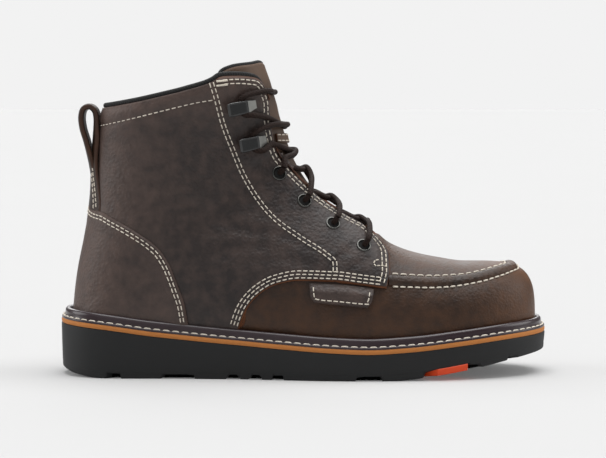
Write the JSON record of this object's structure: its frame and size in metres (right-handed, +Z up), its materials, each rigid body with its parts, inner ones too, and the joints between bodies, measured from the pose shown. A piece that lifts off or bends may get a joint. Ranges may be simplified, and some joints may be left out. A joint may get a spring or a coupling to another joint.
{
  "type": "work boot",
  "caption": "Lace-up leather work boot for the right foot, with a moc toe, ankle-high shaft, storm welt, wedge sole and pull loop at the heel.",
  "frame": {"origin": "on the floor, under the middle of the sole", "axes": "+X towards the toe, +Y towards the inner side of the foot, +Z up"},
  "size_m": [0.307, 0.1119, 0.198],
  "materials": {
    "upper_leather": "oiled full-grain leather with a fine pebble",
    "tongue_leather": "oiled leather, smooth",
    "welt_leather": "waxed leather, slightly glossy",
    "insole_leather": "smooth, matt",
    "binding_fabric": "woven black tape",
    "outsole_rubber": "moulded matt rubber",
    "insert_rubber": "moulded matt rubber",
    "midsole_rubber": "cut edge, matt",
    "fitting_metal": "dark plated",
    "lace_cord": "round braided cord"
  },
  "bodies": {
    "root": {"outsole": "outsole_rubber", "outsole_insert": "insert_rubber", "midsole": "midsole_rubber", "welt": "welt_leather", "insole": "insole_leather", "upper": "upper_leather", "quarter_lateral": "upper_leather", "quarter_medial": "upper_leather", "eyestay_lateral": "upper_leather", "eyestay_medial": "upper_leather", "heel_counter": "upper_leather", "side_tag": "upper_leather", "moc_seam": "upper_leather", "tongue": "tongue_leather", "lace_keeper": "tongue_leather", "collar_binding": "binding_fabric", "pull_loop": "upper_leather", "eyelet_lateral_1": "fitting_metal", "eyelet_lateral_2": "fitting_metal", "eyelet_lateral_3": "fitting_metal", "eyelet_lateral_4": "fitting_metal", "eyelet_medial_1": "fitting_metal", "eyelet_medial_2": "fitting_metal", "eyelet_medial_3": "fitting_metal", "eyelet_medial_4": "fitting_metal", "hook_lateral_1": "fitting_metal", "hook_lateral_2": "fitting_metal", "hook_medial_1": "fitting_metal", "hook_medial_2": "fitting_metal", "lace": "lace_cord"}
  },
  "joints": []
}
